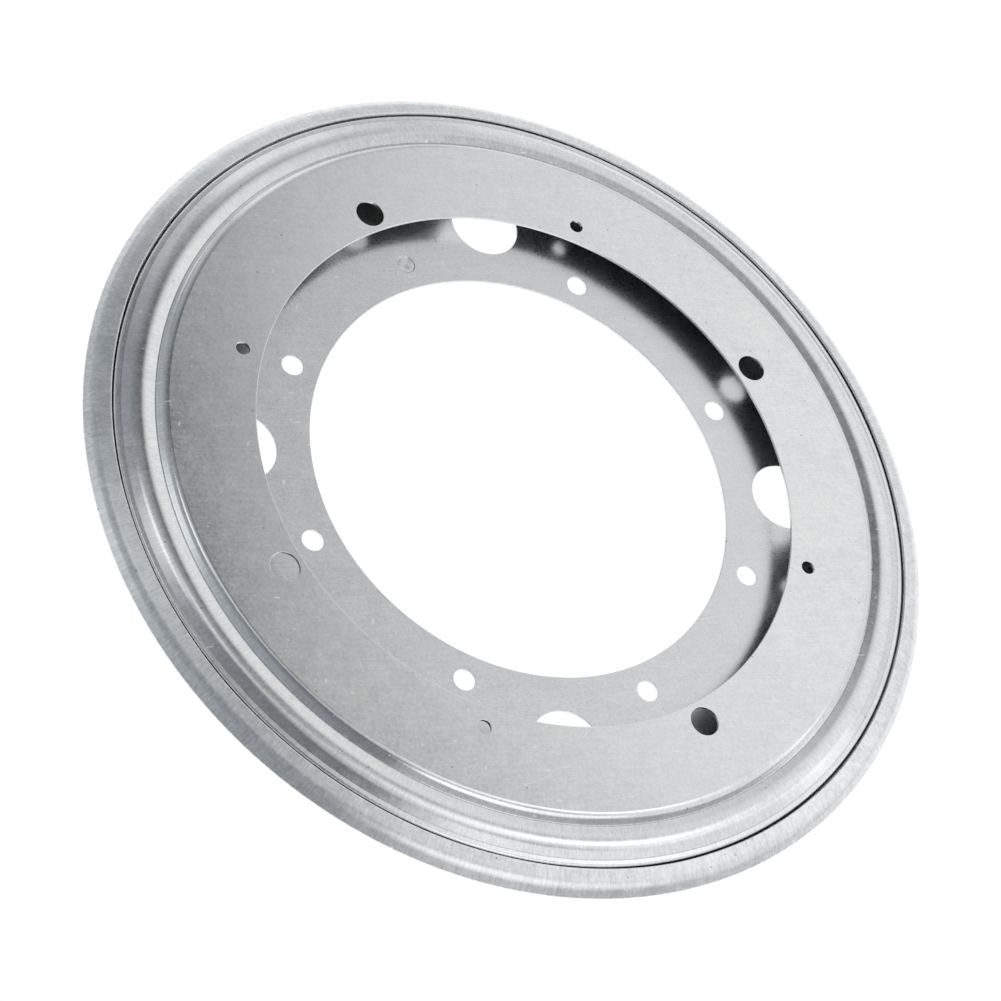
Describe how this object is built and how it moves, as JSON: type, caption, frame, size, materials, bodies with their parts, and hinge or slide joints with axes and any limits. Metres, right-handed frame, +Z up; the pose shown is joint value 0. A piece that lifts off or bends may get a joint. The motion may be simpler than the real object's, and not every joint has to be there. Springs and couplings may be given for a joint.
{
  "type": "turntable bearing",
  "caption": "Flat round pressed-steel swivel ring: an upper plate turns on balls inside the folded rim of a lower plate, with a wide open centre and screw holes in both plates.",
  "frame": {"origin": "on the ring's axis, in the plane that the lower plate rests on", "axes": "+Z up along the axis the upper plate turns about; +X through the lower plate's screw hole opposite the stamped mark"},
  "size_m": [0.3046, 0.3046, 0.0088],
  "materials": {
    "lower_plate_steel": "zinc-coated sheet, semi-gloss",
    "upper_plate_steel": "zinc-coated sheet, satin",
    "cage_steel": "plain steel strip, oiled",
    "ball_steel": "polished"
  },
  "bodies": {
    "base": {"lower_plate": "lower_plate_steel"},
    "turntable": {"upper_plate": "upper_plate_steel"},
    "ball_set": {"ball_cage": "cage_steel", "ball_01": "ball_steel", "ball_02": "ball_steel", "ball_03": "ball_steel", "ball_04": "ball_steel", "ball_05": "ball_steel", "ball_06": "ball_steel", "ball_07": "ball_steel", "ball_08": "ball_steel", "ball_09": "ball_steel", "ball_10": "ball_steel", "ball_11": "ball_steel", "ball_12": "ball_steel", "ball_13": "ball_steel", "ball_14": "ball_steel", "ball_15": "ball_steel", "ball_16": "ball_steel", "ball_17": "ball_steel", "ball_18": "ball_steel", "ball_19": "ball_steel", "ball_20": "ball_steel", "ball_21": "ball_steel", "ball_22": "ball_steel", "ball_23": "ball_steel", "ball_24": "ball_steel", "ball_25": "ball_steel", "ball_26": "ball_steel", "ball_27": "ball_steel", "ball_28": "ball_steel", "ball_29": "ball_steel", "ball_30": "ball_steel", "ball_31": "ball_steel", "ball_32": "ball_steel", "ball_33": "ball_steel", "ball_34": "ball_steel", "ball_35": "ball_steel", "ball_36": "ball_steel", "ball_37": "ball_steel", "ball_38": "ball_steel", "ball_39": "ball_steel", "ball_40": "ball_steel", "ball_41": "ball_steel", "ball_42": "ball_steel", "ball_43": "ball_steel", "ball_44": "ball_steel", "ball_45": "ball_steel", "ball_46": "ball_steel", "ball_47": "ball_steel", "ball_48": "ball_steel"}
  },
  "joints": [
    {"name": "turntable_spin", "type": "hinge", "parent": "base", "child": "turntable", "pos_m": [0, 0, 0.0043], "axis": [0, 0, 1], "continuous": true},
    {"name": "ball_orbit", "type": "hinge", "parent": "base", "child": "ball_set", "pos_m": [0, 0, 0.0034], "axis": [0, 0, 1], "continuous": true}
  ],
  "couplings": [
    {"joint": "ball_orbit", "follows": "turntable_spin", "ratio": 0.5}
  ]
}
